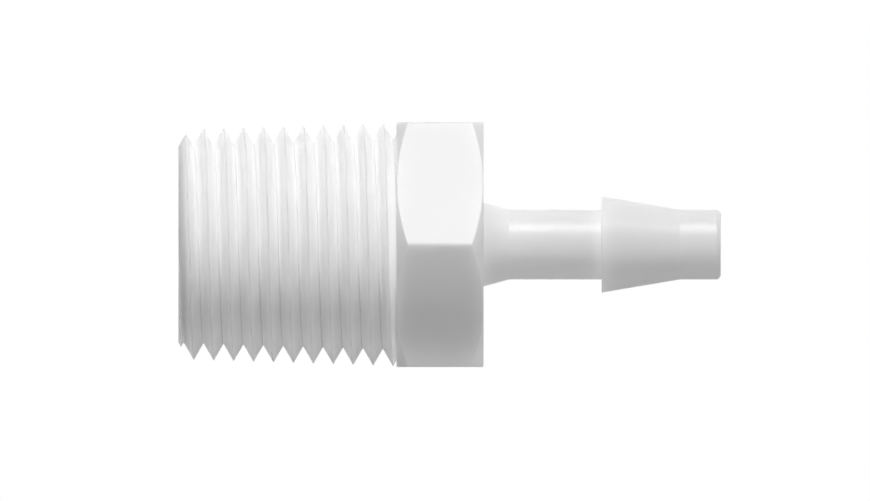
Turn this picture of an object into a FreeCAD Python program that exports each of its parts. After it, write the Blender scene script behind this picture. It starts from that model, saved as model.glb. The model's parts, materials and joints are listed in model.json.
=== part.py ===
import FreeCAD, Part

import math
import os

import Sketcher
from FreeCAD import Placement, Rotation, Vector

# A hose adapter moulded in one piece. A tapered pipe thread, a hexagon for the wrench
# and a tail with a single barb follow each other along X. The origin is the middle of
# the threaded end's face, and two flats of the hexagon lie level, above and below.
# Lengths are in millimetres and angles in degrees.

SIZES = [
    ("thread_pitch", 1.8143, "crest to crest along the axis, 14 to the inch"),
    ("thread_length", 19.85, "end face to hexagon"),
    ("pitch_diameter", 19.34, "of the thread, in the plane of the end face"),
    ("taper_ratio", 16, "length in which the thread's diameter grows by 1"),
    ("flank_angle", 30, "between each flank and a plane square to the axis"),
    ("first_crest", 0.495, "end face to the first crest on the upper side"),
    ("lead_in_angle", 30, "between the lead-in cone and the end face"),
    ("lead_in_land", 0.04, "how far the lead-in starts outside the thread's root"),
    ("hex_across_flats", 22.3, "for a 7/8 inch wrench"),
    ("hex_length", 7.94, "along the axis"),
    ("hex_chamfer_inset", 0.28, "from the flats in to the chamfer's edge on the end face"),
    ("hex_chamfer_angle", 26.5, "between the chamfer and the end face"),
    ("collar_diameter", 7.62, "of the tail where it leaves the hexagon"),
    ("collar_length", 2.33, "over which the tail narrows to its stem"),
    ("stem_diameter", 6.35, "of the stem and the nose, the hose's own bore"),
    ("stem_length", 10.75, "hexagon to the barb's shoulder"),
    ("barb_diameter", 8.76, "at the shoulder"),
    ("barb_length", 7.14, "of the cone from the shoulder to the nose"),
    ("nose_length", 3.71, "from the cone to the tip"),
    ("nose_bevel", 0.36, "broken edge round the tip"),
    ("core_diameter", 13.4, "of the hollow under the thread"),
    ("floor_wall", 3.0, "between the core's floor and the hexagon's outer face"),
    ("bore_diameter", 4.3, "of the way through the tail"),
]

doc = FreeCAD.newDocument("hose_adapter")


def size_sheet():
    """The driving dimensions, one to a row: name, value and what it measures."""
    sheet = doc.addObject("Spreadsheet::Sheet", "sizes")
    for row, (name, value, meaning) in enumerate(SIZES, start=1):
        sheet.set(f"A{row}", name)
        sheet.set(f"B{row}", str(value))
        sheet.set(f"C{row}", meaning)
        sheet.setAlias(f"B{row}", name)
    doc.recompute()
    return sheet


sizes = size_sheet()

# The thread is a sharp V. Its flanks stand at one angle to the axis while its crest and
# root follow a cone, so the crest lies a little nearer to the root behind it.

slope = 0.5 / sizes.taper_ratio
flank = 1 / math.tan(math.radians(sizes.flank_angle))
root_to_crest = sizes.thread_pitch * (flank + slope) / (2 * flank)
thread_height = root_to_crest * (flank - slope)
crest_radius = (sizes.pitch_diameter + thread_height) / 2
root_radius = (sizes.pitch_diameter - thread_height) / 2


def screw_lines(radius, start, turns):
    """The turns of a right-hand helix on the thread's cone, from the upper side at start.

    radius is the cone's own in the plane of the end face.
    """
    height = turns * sizes.thread_pitch
    cone_angle = math.degrees(math.atan(slope))
    screw = Part.makeLongHelix(sizes.thread_pitch, height, radius + start * slope, cone_angle)
    screw.Placement = Placement(Vector(start, 0, 0), Rotation(Vector(1, 0, 1), 180))
    return screw.Edges


def thread_faces():
    """The two flanks of every turn, ruled between root and crest and sewn along both.

    They reach more than a turn past both ends of the threaded length.
    """
    first_root = sizes.first_crest - root_to_crest - 2 * sizes.thread_pitch
    turns = math.ceil((sizes.thread_length - first_root) / sizes.thread_pitch) + 1
    roots = screw_lines(root_radius, first_root, turns + 1)
    crests = screw_lines(crest_radius, first_root + root_to_crest, turns)
    flanks = []
    for root, crest, next_root in zip(roots, crests, roots[1:]):
        flanks.append(Part.makeRuledSurface(root, crest))
        flanks.append(Part.makeRuledSurface(crest, next_root))
    shell = Part.makeShell(flanks)
    shell.sewShape()
    return shell


def threaded_stub():
    """The solid under the thread: a turned blank with its lead-in, split by the flanks."""
    length = sizes.thread_length
    lead_in_radius = root_radius + sizes.lead_in_land
    blank_radius = crest_radius + length * slope + thread_height
    lead_in_depth = (blank_radius - lead_in_radius) * math.tan(math.radians(sizes.lead_in_angle))
    outline = [
        Vector(0, 0, 0),
        Vector(length, 0, 0),
        Vector(length, 0, blank_radius),
        Vector(lead_in_depth, 0, blank_radius),
        Vector(0, 0, lead_in_radius),
        Vector(0, 0, 0),
    ]
    blank = Part.Face(Part.makePolygon(outline)).revolve(Vector(), Vector(1, 0, 0), 360)
    pieces, _ = blank.generalFuse([thread_faces()])
    if len(pieces.Solids) < 2:
        raise RuntimeError("the thread doesn't cut its blank")
    middle = Vector(length / 2, 0, 0)
    return next(solid for solid in pieces.Solids if solid.isInside(middle, 0.01, True))


stub = doc.addObject("Part::Feature", "threaded_stub")
stub.Shape = threaded_stub()
stub.Placement = Placement()

# The rest is built on the stub. Places along the axis are written once, from the
# threaded end to the tip.

HEX_START = "sizes.thread_length"
HEX_END = "(sizes.thread_length + sizes.hex_length)"
COLLAR_END = f"({HEX_END} + sizes.collar_length)"
SHOULDER = f"({HEX_END} + sizes.stem_length)"
NOSE = f"({SHOULDER} + sizes.barb_length)"
TIP = f"({NOSE} + sizes.nose_length)"
CORE_FLOOR = f"({HEX_END} - sizes.floor_wall)"

body = doc.addObject("PartDesign::Body", "adapter")
body.Label = "hose_adapter"
body.Placement = Placement()
body.BaseFeature = stub
doc.recompute()


def origin_feature(role):
    return next(feature for feature in body.Origin.OriginFeatures if feature.Role == role)


def new_sketch(name, plane):
    sketch = body.newObject("Sketcher::SketchObject", name)
    sketch.AttachmentSupport = [(origin_feature(plane), "")]
    sketch.MapMode = "FlatFace"
    return sketch


def outline(sketch, name, corners):
    """A closed outline of straight lines through corners given as (along X, radius).

    Both distances of each corner are measured from the sketch's origin, which is point 1
    of its axis -1, and follow their expressions.
    """
    first = sketch.GeometryCount
    places = [[sketch.evalExpression(text) for text in corner] for corner in corners]
    for (x, z), (next_x, next_z) in zip(places, places[1:] + places[:1]):
        sketch.addGeometry(Part.LineSegment(Vector(x, z, 0), Vector(next_x, next_z, 0)), False)
    for step, (corner, place) in enumerate(zip(corners, places)):
        line, next_line = first + step, first + (step + 1) % len(corners)
        sketch.addConstraint(Sketcher.Constraint("Coincident", line, 2, next_line, 1))
        for direction, expression, value in zip("XY", corner, place):
            distance = Sketcher.Constraint(f"Distance{direction}", -1, 1, line, 1, value)
            label = f"{name}_{direction}{step}"
            sketch.renameConstraint(sketch.addConstraint(distance), label)
            sketch.setExpression(f"Constraints.{label}", expression)


def turned(kind, name, sketch):
    """A full turn of the sketch about the axis, added or cut away."""
    feature = body.newObject(f"PartDesign::{kind}", name)
    feature.Profile = sketch
    feature.ReferenceAxis = (origin_feature("X_Axis"), [""])
    feature.Angle = 360
    doc.recompute()
    return feature


def hexagon():
    """A regular hexagon round the axis with two level sides, as long as the sheet says."""
    sketch = new_sketch("hexagon_outline", "YZ_Plane")
    sketch.setExpression("AttachmentOffset.Base.z", HEX_START)
    corner_radius = sizes.hex_across_flats / math.sqrt(3)
    corners = []
    for step in range(6):
        angle = math.radians(60 * step)
        corners.append(Vector(math.cos(angle), math.sin(angle), 0) * corner_radius)
    for step in range(6):
        sketch.addGeometry(Part.LineSegment(corners[step], corners[(step + 1) % 6]), False)
    circle = sketch.addGeometry(Part.Circle(Vector(), Vector(0, 0, 1), corner_radius), True)
    sketch.addConstraint(Sketcher.Constraint("Coincident", circle, 3, -1, 1))
    for side in range(6):
        sketch.addConstraint(Sketcher.Constraint("Coincident", side, 2, (side + 1) % 6, 1))
        sketch.addConstraint(Sketcher.Constraint("PointOnObject", side, 1, circle))
    for side in range(1, 6):
        sketch.addConstraint(Sketcher.Constraint("Equal", 0, side))
    upper, lower = 1, 4
    sketch.addConstraint(Sketcher.Constraint("Horizontal", upper))
    across = Sketcher.Constraint("DistanceY", lower, 1, upper, 1, sizes.hex_across_flats)
    sketch.renameConstraint(sketch.addConstraint(across), "across_flats")
    sketch.setExpression("Constraints.across_flats", "sizes.hex_across_flats")
    pad = body.newObject("PartDesign::Pad", "hexagon")
    pad.Profile = sketch
    pad.setExpression("Length", "sizes.hex_length")
    doc.recompute()


def hexagon_chamfers():
    """The cone that takes the hexagon's corners off at each end, as a facing tool does."""
    edge = "(sizes.hex_across_flats / 2 - sizes.hex_chamfer_inset)"
    outside = "(sizes.hex_across_flats / (2 * cos(30)) + 1)"
    depth = f"({outside} - {edge}) * tan(sizes.hex_chamfer_angle)"
    sketch = new_sketch("chamfer_outlines", "XZ_Plane")
    inward = [("thread_side", HEX_START, "+"), ("tail_side", HEX_END, "-")]
    for name, face, sign in inward:
        corners = [(face, edge), (face, outside), (f"{face} {sign} {depth}", outside)]
        outline(sketch, name, corners)
    turned("Groove", "hexagon_chamfers", sketch)


def tail():
    """Collar, stem, barb and nose. The barb's shoulder is square, to hold the hose."""
    stem = "(sizes.stem_diameter / 2)"
    sketch = new_sketch("tail_outline", "XZ_Plane")
    corners = [
        (HEX_END, "0"),
        (HEX_END, "sizes.collar_diameter / 2"),
        (COLLAR_END, stem),
        (SHOULDER, stem),
        (SHOULDER, "sizes.barb_diameter / 2"),
        (NOSE, stem),
        (f"{TIP} - sizes.nose_bevel", stem),
        (TIP, f"{stem} - sizes.nose_bevel"),
        (TIP, "0"),
    ]
    outline(sketch, "tail", corners)
    turned("Revolution", "tail", sketch)


def way_through():
    """The wide core under the thread and the narrow bore through the tail."""
    core = "sizes.core_diameter / 2"
    bore = "sizes.bore_diameter / 2"
    sketch = new_sketch("way_through_outline", "XZ_Plane")
    corners = [
        ("0", "0"),
        ("0", core),
        (CORE_FLOOR, core),
        (CORE_FLOOR, bore),
        (TIP, bore),
        (TIP, "0"),
    ]
    outline(sketch, "way", corners)
    return turned("Groove", "way_through", sketch)


hexagon()
hexagon_chamfers()
tail()
body.Tip = way_through()
doc.recompute()


def check_model():
    """Stops before anything is written if a feature failed or did nothing."""
    for item in doc.Objects:
        if "Invalid" in item.State or "Error" in item.State:
            raise RuntimeError(f"{item.Name} failed: {item.State}")
    for sketch in doc.findObjects("Sketcher::SketchObject"):
        if not sketch.FullyConstrained:
            raise RuntimeError(f"{sketch.Name} isn't fully constrained")
    volume = stub.Shape.Volume
    for feature in doc.findObjects("PartDesign::Feature"):
        if feature.TypeId in ("PartDesign::Body", "PartDesign::FeatureBase"):
            continue
        added = feature.Shape.Volume - volume
        cuts = feature.TypeId == "PartDesign::Groove"
        if (added < 0) != cuts or abs(added) < 1:
            raise RuntimeError(f"{feature.Name} changed the volume by {added:.2f}")
        print(f"{feature.Name}: {added:+.1f} mm3")
        volume = feature.Shape.Volume
    shape = body.Shape
    if shape.isNull() or not shape.isValid() or len(shape.Solids) != 1:
        raise RuntimeError(f"{body.Label} isn't one valid solid")


check_model()
os.makedirs("parts", exist_ok=True)
body.Shape.exportStep(f"parts/{body.Label}.step")
box = body.Shape.BoundBox
print(f"{body.Label}: {body.Shape.Volume:.1f} mm3, tip at {box.XMax:.2f} mm")
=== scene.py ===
# %% [markdown]
# # A white hose adapter
# The real object is one moulding in white plastic: a tapered pipe thread, a hexagon for the wrench
# and a tail with one barb, on a common axis. The CAD model holds its sizes. This script dresses it
# for a picture: one finer mesh of the same form, one plastic, soft light, and a camera that looks at
# it square from the side. It begins by loading the CAD model, which never moves.

# %% Load the frame
import json
import math

import bmesh
import bpy
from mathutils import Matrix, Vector


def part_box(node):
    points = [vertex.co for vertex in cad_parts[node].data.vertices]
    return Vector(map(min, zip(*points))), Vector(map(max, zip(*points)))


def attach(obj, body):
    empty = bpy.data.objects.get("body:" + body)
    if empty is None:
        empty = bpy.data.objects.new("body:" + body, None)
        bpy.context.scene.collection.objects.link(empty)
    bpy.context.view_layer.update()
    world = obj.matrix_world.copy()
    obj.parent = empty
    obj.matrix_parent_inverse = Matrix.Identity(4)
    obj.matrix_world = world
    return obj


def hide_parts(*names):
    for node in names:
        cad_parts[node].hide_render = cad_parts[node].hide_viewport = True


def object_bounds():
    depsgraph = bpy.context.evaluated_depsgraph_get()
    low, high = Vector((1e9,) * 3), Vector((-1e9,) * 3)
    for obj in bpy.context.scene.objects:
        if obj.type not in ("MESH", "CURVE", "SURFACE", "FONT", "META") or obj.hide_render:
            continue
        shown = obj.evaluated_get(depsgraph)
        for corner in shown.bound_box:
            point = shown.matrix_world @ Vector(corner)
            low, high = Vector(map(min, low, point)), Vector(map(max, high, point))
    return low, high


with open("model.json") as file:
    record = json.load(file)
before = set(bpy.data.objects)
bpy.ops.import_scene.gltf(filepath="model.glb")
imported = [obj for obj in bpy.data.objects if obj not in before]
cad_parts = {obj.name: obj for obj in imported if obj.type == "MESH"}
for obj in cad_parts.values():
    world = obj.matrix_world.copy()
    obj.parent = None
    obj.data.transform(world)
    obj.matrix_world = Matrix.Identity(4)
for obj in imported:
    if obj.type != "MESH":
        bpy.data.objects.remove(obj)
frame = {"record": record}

cad_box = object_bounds()
NODE = "hose_adapter"

# %% [markdown]
# # Sizes
# The mounts in the record already say where most of the form begins and ends: the thread's length,
# the hexagon's flats, the barb's shoulder and both bores. Reading them there keeps this mesh on the
# CAD model, however its sizes are set. Only what no mount states is written out, in millimetres.

# %% Read the sizes
MM = 0.001
mounts = {mount["name"]: mount for mount in frame["record"]["mounts"]}


def place(name, axis=0):
    """A mount's position along one axis, in millimetres."""
    return mounts[name]["pos_m"][axis] / MM


def size(name, key):
    """One of a mount's own dimensions, in millimetres."""
    return mounts[name]["dims"][key]


thread_length = size("pipe_thread", "length_mm")
hex_middle = place("wrench_flat_top")
hex_end = 2 * hex_middle - thread_length
flat_height = place("wrench_flat_top", axis=2)
shoulder = place("hose_barb")
barb_end = shoulder + size("hose_barb", "length_mm")
barb_radius = size("hose_barb", "r_mm")
stem_radius = size("hose_nose", "r_mm")
tip = cad_box[1].x / MM
core_radius = size("core_bore", "r_mm")
core_floor = size("core_bore", "length_mm")
bore_radius = size("tail_bore", "r_mm")
print(f"thread {thread_length:.2f}, hexagon to {hex_end:.2f}, shoulder {shoulder:.2f}, "
      f"tip {tip:.2f} mm")

# %% [markdown]
# # The thread's section
# A pipe thread is a V wound round a cone: 14 turns to the inch, flanks at 30 degrees to a square
# section, and a diameter that grows by 1 in 16. A screw modifier could wind it, but it would not
# fade it out into the lead-in and the hexagon. So the section is worked out afresh at each angle
# round the axis: the same row of teeth, a little further along each time, cut off at both ends.
# Crest and root are sharp in the photograph, but no mould cuts a perfect edge, so each carries a
# flat narrower than a hair, which is also what keeps the mesh's faces from shrinking to nothing.

# %% Work out the thread's section
inch = 25.4
turns_to_the_inch = 14
pitch = inch / turns_to_the_inch
pitch_radius = 19.34 / 2
slope = 1 / 32
first_crest = 0.495
flank = math.tan(math.radians(60))
lead_in_radius = 8.925
crest_flat = 0.02
root_flat = 0.02
points_to_a_tooth = 4
spare_turns = 2

tooth_rise = pitch * (flank + slope) / (2 * flank)
tooth_height = tooth_rise * (flank - slope)
crest_radius = pitch_radius + tooth_height / 2
root_radius = pitch_radius - tooth_height / 2


def teeth(angle):
    """The endless thread's section at this angle: (x, radius) four to a tooth, left to right."""
    section = []
    for turn in range(-spare_turns, math.ceil(thread_length / pitch) + spare_turns):
        crest = first_crest + pitch * (turn + angle / math.tau)
        root = crest + pitch - tooth_rise
        top = crest_radius + crest * slope - crest_flat / 2 * flank
        bottom = root_radius + root * slope + root_flat / 2 * flank
        section.append((crest - crest_flat / 2, top))
        section.append((crest + crest_flat / 2, top))
        section.append((root - root_flat / 2, bottom))
        section.append((root + root_flat / 2, bottom))
    return section


def radius_at(section, x):
    """The section's radius at x."""
    for (left, low), (right, high) in zip(section, section[1:]):
        if left <= x <= right:
            return low + (high - low) * (x - left) / (right - left)
    raise ValueError(f"{x} is off the section")


print(f"crests {2 * crest_radius:.2f} mm across at the end face, {tooth_height:.3f} mm high")

# %% [markdown]
# # The ends of the thread
# At the end face a steep cone takes the first teeth down, so that the thread starts easily in its
# port. At the hexagon the thread simply stops, on its end face or, where a crest stands higher than
# that, on the chamfer round it. Both ends are made by moving points and none is added or taken away:
# a point past an end goes to that end, and a point above the cone drops onto it. One spare point on
# each tooth marks where the cone leaves its far flank. Every angle then has as many points as the
# next, and a plain grid of faces joins them.

# %% Trim the section
chamfer_inset = 0.09
hex_face_radius = flat_height - chamfer_inset
hex_chamfer = math.tan(math.radians(30))


def lead_in(x):
    """The lead-in cone's radius at x."""
    return lead_in_radius + x * flank


def crossing(point, next_point):
    """Where the stretch between two points leaves the lead-in cone, or else its first point."""
    above = point[1] - lead_in(point[0])
    below = lead_in(next_point[0]) - next_point[1]
    if above <= 0 or below <= 0:
        return point
    share = above / (above + below)
    return tuple(a + (b - a) * share for a, b in zip(point, next_point))


def thread_section(angle):
    """The trimmed section, from the end face to the hexagon's chamfer or face."""
    section = teeth(angle)
    start = (0.0, min(radius_at(section, 0.0), lead_in_radius))
    stop_radius = radius_at(section, thread_length)
    stop = (thread_length + max(0.0, stop_radius - hex_face_radius) * hex_chamfer, stop_radius)
    trimmed = []
    for index, point in enumerate(section):
        points = [point]
        if index % points_to_a_tooth == 1:
            points.append(crossing(point, section[index + 1]))
        for x, radius in points:
            if x <= 0:
                trimmed.append(start)
            elif x >= stop[0]:
                trimmed.append(stop)
            else:
                trimmed.append((x, min(radius, lead_in(x))))
    return trimmed


print("points in the thread's section:", len(thread_section(0.0)))

# %% [markdown]
# # Hexagon, tail and the way through
# These are turned forms, apart from the hexagon, whose radius changes with the angle. A helper
# rounds each outer corner by the amount that the moulding has there: next to nothing on most edges,
# so that they catch a thin line of light, and nearly half a millimetre on the nose, which takes more
# steps. Inner corners stay sharp. The hexagon's chamfers are cones, and where they meet its flats
# they leave the arcs that every turned wrench hexagon has.

# %% Outline of everything but the thread
edge_round = 0.08
edge_steps = 3
corner_round = 0.3
nose_round = 0.45
nose_steps = 12
collar_radius = 3.81
collar_length = 2.33


def rounded(corners):
    """The corners between the first and the last, given as (x, radius, rounding), made round."""
    outline = []
    for before, corner, after in zip(corners, corners[1:], corners[2:]):
        here = Vector(corner[:2])
        if corner[2] == 0:
            outline.append(tuple(here))
            continue
        back = (Vector(before[:2]) - here).normalized()
        ahead = (Vector(after[:2]) - here).normalized()
        half = back.angle(ahead) / 2
        centre = here + (back + ahead).normalized() * (corner[2] / math.sin(half))
        reach = corner[2] / math.tan(half)
        steps = nose_steps if corner[2] == nose_round else edge_steps
        first = (here + back * reach - centre).normalized()
        last = (here + ahead * reach - centre).normalized()
        for step in range(steps + 1):
            outline.append(tuple(centre + first.slerp(last, step / steps) * corner[2]))
    return outline


# Half of the angle that one side of the hexagon spans, and where the rounding of a corner lies
half_side = math.radians(30)
corner_centre = (flat_height - corner_round) / math.cos(half_side)
corner_reach = math.atan2(corner_round / 2, corner_centre + corner_round * math.cos(half_side))


def hex_radius(angle):
    """The hexagon's own radius at this angle, with its six corners a little rounded."""
    off_corner = angle % (2 * half_side) - half_side
    if abs(off_corner) < corner_reach:
        across = corner_centre * math.sin(off_corner)
        return corner_centre * math.cos(off_corner) + math.sqrt(corner_round**2 - across**2)
    return flat_height / math.cos(half_side - abs(off_corner))


def body_section(angle, stop):
    """From the thread's stop along the outside to the tip and back through the bores."""
    outer = hex_radius(angle)
    chamfer = (outer - hex_face_radius) * hex_chamfer
    face = (thread_length, hex_face_radius) if stop[1] < hex_face_radius else stop
    outside = [
        (*stop, 0),
        (*face, 0),
        (thread_length + chamfer, outer, edge_round),
        (hex_end - chamfer, outer, edge_round),
        (hex_end, hex_face_radius, edge_round),
        (hex_end, collar_radius, 0),
        (hex_end + collar_length, stem_radius, 0),
        (shoulder, stem_radius, 0),
        (shoulder, barb_radius, edge_round),
        (barb_end, stem_radius, 0),
        (tip, stem_radius, nose_round),
        (tip, bore_radius, edge_round),
        (core_floor, bore_radius, edge_round),
        (core_floor, core_radius, 0),
        (0.0, core_radius, edge_round),
        (0.0, lead_in_radius, 0),
    ]
    return rounded(outside)


print("points in the rest of the section:", len(body_section(0.0, thread_section(0.0)[-1])))

# %% [markdown]
# # One closed mesh
# Each angle round the axis gives one closed loop of points, and neighbouring loops are joined by
# quads. The last loop is the first one again, one tooth further along, so its points fall on the
# first loop's and are merged with them, as are all the points that the trimming put in one place.
# The hexagon's corners get a few extra angles for their rounding.

# %% Build the adapter
turn_steps = 240
corner_steps = 4
same_place = 1e-7
angles = [math.tau * step / turn_steps for step in range(turn_steps + 1)]
for corner in range(6):
    middle = math.radians(30 + 60 * corner)
    angles += [middle + corner_reach * step / corner_steps
               for step in range(-corner_steps, corner_steps + 1) if step]
angles.sort()


def loop(angle):
    """One closed loop of points round the wall's section, in metres."""
    thread = thread_section(angle)
    section = thread + body_section(angle, thread[-1])
    across, up = -math.sin(angle), math.cos(angle)
    return [Vector((x, radius * across, radius * up)) * MM for x, radius in section]


def build_adapter():
    """The whole moulding as one closed mesh."""
    mesh = bmesh.new()
    loops = [[mesh.verts.new(point) for point in loop(angle)] for angle in angles]
    for near, far in zip(loops, loops[1:]):
        for index in range(len(near)):
            after = (index + 1) % len(near)
            mesh.faces.new((near[index], near[after], far[after], far[index]))
    bmesh.ops.remove_doubles(mesh, verts=mesh.verts, dist=same_place)
    bmesh.ops.dissolve_degenerate(mesh, edges=mesh.edges, dist=same_place)
    bmesh.ops.recalc_face_normals(mesh, faces=mesh.faces)
    open_edges = sum(not edge.is_manifold for edge in mesh.edges)
    print(f"adapter: {len(mesh.faces)} faces, {open_edges} open edges, "
          f"{mesh.calc_volume() / MM**3:.0f} mm3")
    data = bpy.data.meshes.new("moulded_adapter")
    mesh.to_mesh(data)
    mesh.free()
    adapter = bpy.data.objects.new("moulded_adapter", data)
    bpy.context.collection.objects.link(adapter)
    return adapter


adapter = build_adapter()

# %% [markdown]
# # Shading across the edges
# The flanks, flats and cones should shade smoothly round the axis and break cleanly at the edges,
# even where the barb's shallow cone meets the nose. Edges over 9 degrees are therefore marked
# sharp. One step round the axis, round a corner of the hexagon or along the nose turns less than
# that. The other roundings turn further at each step and keep their facets, which are less than a
# twentieth of a millimetre wide. Weighted normals keep such narrow faces from bending the light on
# the wide ones beside them.

# %% Smooth the faces
sharp_angle = math.radians(9)
adapter.data.shade_smooth()
adapter.data.set_sharp_from_angle(angle=sharp_angle)
weighted = adapter.modifiers.new("even_normals", "WEIGHTED_NORMAL")
weighted.keep_sharp = True
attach(adapter, "root")
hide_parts(NODE)
print("sharp edges:", sum(edge.use_edge_sharp for edge in adapter.data.edges))

# %% [markdown]
# # Shader maths
# A small wrapper lets a material read like arithmetic. Each operator adds the Math node that it
# stands for, and any other node comes from one method. A wrapper made of a node tree alone stands
# for no output yet, and is where a chain of nodes begins.

# %% A socket that does arithmetic


class Socket:
    """A node's output that can be added, subtracted, multiplied and put through other nodes."""

    def __init__(self, tree, output=None):
        self.tree = tree
        self.output = output

    def node(self, kind, settings=None, output=0, **inputs):
        """Adds a node: its settings first, then values or links for the named sockets."""
        made = self.tree.nodes.new(kind)
        for name, value in (settings or {}).items():
            setattr(made, name, value)
        for name, value in inputs.items():
            key = int(name[1:]) if name[1:].isdigit() else name.replace("_", " ")
            if isinstance(value, Socket):
                self.tree.links.new(value.output, made.inputs[key])
            else:
                made.inputs[key].default_value = value
        return Socket(self.tree, made.outputs[output])

    def beside(self, name):
        """Another output of the same node."""
        return Socket(self.tree, self.output.node.outputs[name])

    def feed(self, socket):
        """Links this output to a shader's socket."""
        self.tree.links.new(self.output, socket)

    def math(self, operation, *values):
        """A Math node that works on these values or outputs."""
        return self.node("ShaderNodeMath", {"operation": operation},
                         **{f"i{place}": value for place, value in enumerate(values)})

    def __add__(self, other):
        return self.math("ADD", self, other)

    def __radd__(self, other):
        return self.math("ADD", other, self)

    def __sub__(self, other):
        return self.math("SUBTRACT", self, other)

    def __rsub__(self, other):
        return self.math("SUBTRACT", other, self)

    def __mul__(self, other):
        return self.math("MULTIPLY", self, other)

    def __rmul__(self, other):
        return self.math("MULTIPLY", other, self)

    def __truediv__(self, other):
        return self.math("DIVIDE", self, other)

    def __pow__(self, other):
        return self.math("POWER", self, other)

    def __abs__(self):
        return self.math("ABSOLUTE", self)


# %% [markdown]
# # Fine lines on the thread
# On the real thread every crest and every root shows as a thin darker line: the crest is so thin
# that light passes out of its far side, and the root is so narrow that little light gets in. That
# shade is painted into the colour as thin grey lines. The walls beside the root get painted shade
# too, a touch less white than the rest, or the light that they throw at each other would bleach the
# groove. The mesh has these edges, and the colour gets the painted lines. They follow the same
# screw as the mesh: how far a point is along the axis, less its share of a turn, tells where on a
# tooth it lies.

# %% Where a point lies on the thread
crest_line = 0.17
root_line = 0.12
groove_width = 0.6
thread_inside = 8.4


def on_thread(here):
    """Three masks for painted shade in object space: 1 on the crest's line, the root's line and in
    the groove.
    """
    apart = here.node("ShaderNodeSeparateXYZ", Vector=here)
    along, across, up = (apart.beside(axis) / MM for axis in "XYZ")
    turn = (0 - across).math("ARCTAN2", 0 - across, up) / math.tau
    radius = (across * across + up * up) ** 0.5
    threaded = radius.math("GREATER_THAN", radius, thread_inside)
    threaded *= along.math("LESS_THAN", along, thread_length)
    tooth = (along - first_crest) / pitch - turn

    def line(position, half_width):
        """1 on the line at this share of a tooth, and falling to 0 at its half width."""
        nearest = tooth - position + 0.5
        away = abs(nearest.math("FRACT", nearest) - 0.5) * pitch
        return threaded * away.node("ShaderNodeMapRange", {"interpolation_type": "SMOOTHERSTEP"},
                                    Value=away, i1=0.0, i2=half_width, i3=1.0, i4=0.0)

    root = 1 - tooth_rise / pitch
    return line(0.0, crest_line), line(root, root_line), line(root, groove_width)


print(f"lines fade out {crest_line} mm from a crest and {root_line} mm from a root")

# %% [markdown]
# # White moulded plastic
# The plastic is as white as paper, smooth and slightly see-through: where a lit face meets a shaded
# one, light leaks a millimetre or two past the edge, and it softens the grooves of the thread. A
# plain white surface would miss that, so the shader has subsurface scattering on that scale. The
# gloss is soft, with the faintest unevenness that a mould leaves: pale clouds and a fine ripple.

# %% The plastic
white = (0.95, 0.95, 0.95, 1.0)
cloud = (0.935, 0.935, 0.935, 1.0)
# Painted shade on the groove's walls, which keeps the light they throw at each other from bleaching
# them.
groove_painted_shade = (0.905, 0.905, 0.905, 1.0)
# Painted shade: thin grey lines on each crest and root, where the thread loses light.
crest_painted_shade = (0.79, 0.79, 0.79, 1.0)
root_painted_shade = (0.74, 0.74, 0.74, 1.0)
cloud_scale = 160.0
satin_roughness = 0.32
cloud_roughness = 0.08
ripple_scale = 2600.0
ripple_strength = 0.05
ripple_height = 0.02 * MM
light_reach = 1.6 * MM
refraction = 1.5


def white_plastic():
    """The adapter's only material."""
    material = bpy.data.materials.new("white_plastic")
    material.use_nodes = True
    tree = material.node_tree
    surface = tree.nodes["Principled BSDF"]
    here = Socket(tree).node("ShaderNodeTexCoord").beside("Object")
    clouds = here.node("ShaderNodeTexNoise", Vector=here, Scale=cloud_scale, Detail=3.0)
    grain = here.node("ShaderNodeTexNoise", Vector=here, Scale=ripple_scale, Detail=2.0)

    def blend(share, under, over):
        """The colour under, covered by the colour over as far as the share says."""
        return share.node("ShaderNodeMix", {"data_type": "RGBA"}, output=2,
                          i0=share, i6=under, i7=over)

    crests, roots, grooves = on_thread(here)
    # Painted shade darkens the white here: first the groove's walls, then the crest and root lines.
    colour = blend(grooves, blend(clouds, white, cloud), groove_painted_shade)
    colour = blend(roots, blend(crests, colour, crest_painted_shade), root_painted_shade)
    colour.feed(surface.inputs["Base Color"])
    (satin_roughness + cloud_roughness * clouds).feed(surface.inputs["Roughness"])
    ripple = here.node("ShaderNodeBump", Height=grain, Strength=ripple_strength,
                       Distance=ripple_height)
    ripple.feed(surface.inputs["Normal"])
    surface.subsurface_method = "BURLEY"
    surface.inputs["Subsurface Weight"].default_value = 1.0
    surface.inputs["Subsurface Radius"].default_value = (1.0, 1.0, 1.0)
    surface.inputs["Subsurface Scale"].default_value = light_reach
    surface.inputs["IOR"].default_value = refraction
    return material


plastic = white_plastic()
adapter.data.materials.append(plastic)
print("nodes in the plastic:", len(plastic.node_tree.nodes))

# %% [markdown]
# # The floor
# The object lies as on a photographer's light table. The floor glows in a pool under the object, so
# that no dark shadow gathers below the thread, and again some way in front of it, which lights the
# lower half. The picture still needs a plain pale floor. Light Path tells what kind of ray has
# arrived, so the floor is pale and without a glow to the rays that show it, which are the camera's
# and those off gloss or through glass, and dim with a glow to the rays that only gather its light.

# %% Lay the floor
floor_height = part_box(NODE)[0].z
floor_size = 3.0
floor_pale = 0.9
floor_dim = 0.1
floor_roughness = 0.9
pool_glow = 0.36
pool_middle = 25 * MM
pool_half_length = 27 * MM
pool_half_width = 10 * MM
pool_blur = 2 * MM
front_glow = 0.43
front_edges = (12 * MM, 22 * MM)


def shows(tree):
    """1 on the rays that show their target: the camera's, and those off gloss or through glass."""
    camera_ray = Socket(tree).node("ShaderNodeLightPath").beside("Is Camera Ray")
    glossy, through = camera_ray.beside("Is Glossy Ray"), camera_ray.beside("Is Transmission Ray")
    return camera_ray.math("MAXIMUM", camera_ray, glossy.math("MAXIMUM", glossy, through))


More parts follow.
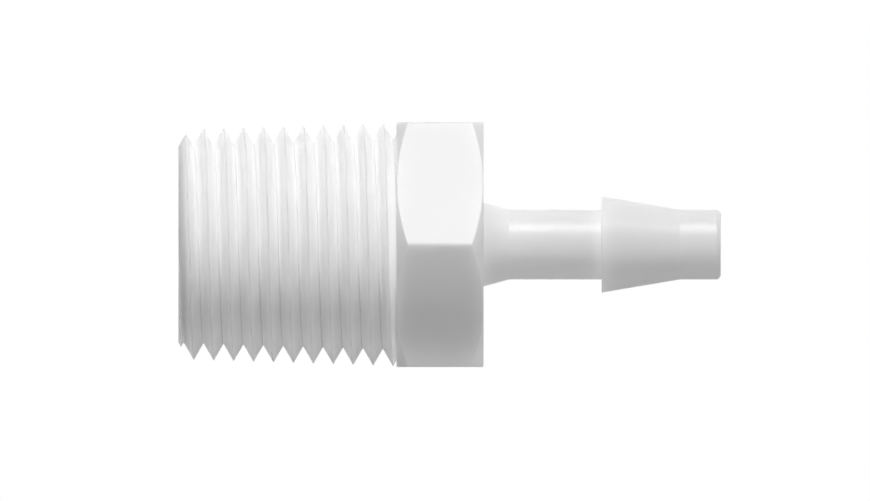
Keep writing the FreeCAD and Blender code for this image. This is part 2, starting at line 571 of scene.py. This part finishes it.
def floor_material():
    """Pale to look at, and dim with a glowing pool and a glowing front as a source of light."""
    material = bpy.data.materials.new("pale_floor")
    material.use_nodes = True
    tree = material.node_tree
    surface = tree.nodes["Principled BSDF"]
    seen = shows(tree)
    (floor_dim + (floor_pale - floor_dim) * seen).feed(surface.inputs["Base Color"])
    here = Socket(tree).node("ShaderNodeTexCoord").beside("Object")
    apart = here.node("ShaderNodeSeparateXYZ", Vector=here)
    past_end = abs(apart.beside("X") - pool_middle) - pool_half_length
    past_side = abs(apart.beside("Y")) - pool_half_width
    smooth = {"interpolation_type": "SMOOTHSTEP"}
    below = here.node("ShaderNodeMapRange", smooth, i1=-pool_blur, i2=pool_blur, i3=pool_glow,
                      i4=0.0, Value=here.math("MAXIMUM", past_end, past_side))
    before = here.node("ShaderNodeMapRange", smooth, i1=front_edges[0], i2=front_edges[1], i3=0.0,
                       i4=front_glow, Value=0 - apart.beside("Y"))
    ((below + before) * (1 - seen)).feed(surface.inputs["Emission Color"])
    surface.inputs["Emission Strength"].default_value = 1.0
    surface.inputs["Roughness"].default_value = floor_roughness
    return material


def floor():
    """One large square that touches the hexagon's lower flat."""
    half = floor_size / 2
    corners = [(-half, -half), (half, -half), (half, half), (-half, half)]
    data = bpy.data.meshes.new("floor")
    data.from_pydata([(x, y, floor_height) for x, y in corners], [], [(0, 1, 2, 3)])
    made = bpy.data.objects.new("floor", data)
    bpy.context.collection.objects.link(made)
    data.materials.append(floor_material())


floor()
print(f"floor {floor_height / MM:.2f} mm below the axis")

# %% [markdown]
# # The room
# A room that is as bright as it is white would light the object from all sides alike and wash out
# its form. So this one is white to the rays that show it and dim to those that gather its light. It
# is brighter behind and above the object, where a window would be, and on its tail's side, with a
# trace more light from the front.

# %% Light the room
room_light = 0.15
tail_side_light = 0.48
back_light = 0.72
back_height = 0.5
front_light = 0.09


def room():
    """A dim and uneven light that shows as plain white."""
    world = bpy.data.worlds.new("room")
    bpy.context.scene.world = world
    world.use_nodes = True
    tree = world.node_tree
    seen = shows(tree)
    towards = Socket(tree).node("ShaderNodeTexCoord").beside("Generated")
    apart = towards.node("ShaderNodeSeparateXYZ", Vector=towards)
    tail_side = apart.math("MAXIMUM", apart.beside("X"), 0.0) ** 2
    behind = (apart.beside("Y") + back_height * apart.beside("Z")) / math.hypot(1, back_height)
    behind = apart.math("MAXIMUM", behind, 0.0) ** 2
    before = apart.math("MINIMUM", apart.beside("Y"), 0.0) ** 2
    light = room_light + tail_side_light * tail_side + back_light * behind + front_light * before
    background = tree.nodes["Background"]
    background.inputs["Color"].default_value = (1.0, 1.0, 1.0, 1.0)
    (light * (1 - seen) + seen).feed(background.inputs["Strength"])


room()
print(f"room {room_light}, and up to {back_light} more from behind")

# %% [markdown]
# # The lamp
# One soft lamp stands in front of the object, 56 degrees up, and is broad enough to blur its own
# shadows. White grooves pass light from side to side many times before it leaves. So the limit on
# diffuse bounces is raised: with Blender's own four, every root of the thread comes out grey.

# %% Hang the lamp
lamp_height_angle = math.radians(56)
lamp_strength = 1.48
lamp_spread = math.radians(25)
light_bounces = 24


def lamp():
    """A far, broad lamp in front and above."""
    data = bpy.data.lights.new("soft_lamp", "SUN")
    data.energy = lamp_strength
    data.angle = lamp_spread
    made = bpy.data.objects.new("soft_lamp", data)
    bpy.context.collection.objects.link(made)
    made.rotation_euler = (math.radians(90) - lamp_height_angle, 0, 0)


lamp()
bpy.context.scene.cycles.max_bounces = light_bounces
bpy.context.scene.cycles.diffuse_bounces = light_bounces
print(f"lamp {math.degrees(lamp_height_angle):.0f} degrees up, {light_bounces} bounces")

# %% [markdown]
# # The camera
# In the photograph the far and the near side of the hexagon are equally large and its end faces
# are seen edge on, so the view is square from the side with no perspective. A very long lens from
# far off would come close to that, and an orthographic camera does it exactly. The picture is
# 870 pixels wide, and its middle lies a little below the axis.

# %% Set up the camera
picture_width = 870
picture_height = 501
pixels_per_mm = 10.98
axis_row = 244.6
end_face_column = 178.45
camera_distance = 0.3
nearest_shown = 0.001
farthest_shown = 10.0

camera_data = bpy.data.cameras.new("side_view")
camera_data.type = "ORTHO"
camera_data.ortho_scale = picture_width / pixels_per_mm * MM
camera_data.clip_start = nearest_shown
camera_data.clip_end = farthest_shown
camera = bpy.data.objects.new("side_view", camera_data)
bpy.context.collection.objects.link(camera)
along = (picture_width / 2 - end_face_column) / pixels_per_mm * MM
above = (axis_row - picture_height / 2) / pixels_per_mm * MM
camera.location = (along, -camera_distance, above)
camera.rotation_euler = (math.radians(90), 0, 0)
bpy.context.scene.camera = camera
bpy.context.scene.view_settings.view_transform = "Standard"
print(f"the picture is {camera_data.ortho_scale / MM:.1f} mm wide")

# %% [markdown]
# The CAD model's box
# The finished mesh has to stay inside the CAD model's box. That box is printed here.

# %% Write the sizes and finish
print("CAD box", [tuple(round(v / MM, 3) for v in corner) for corner in cad_box])
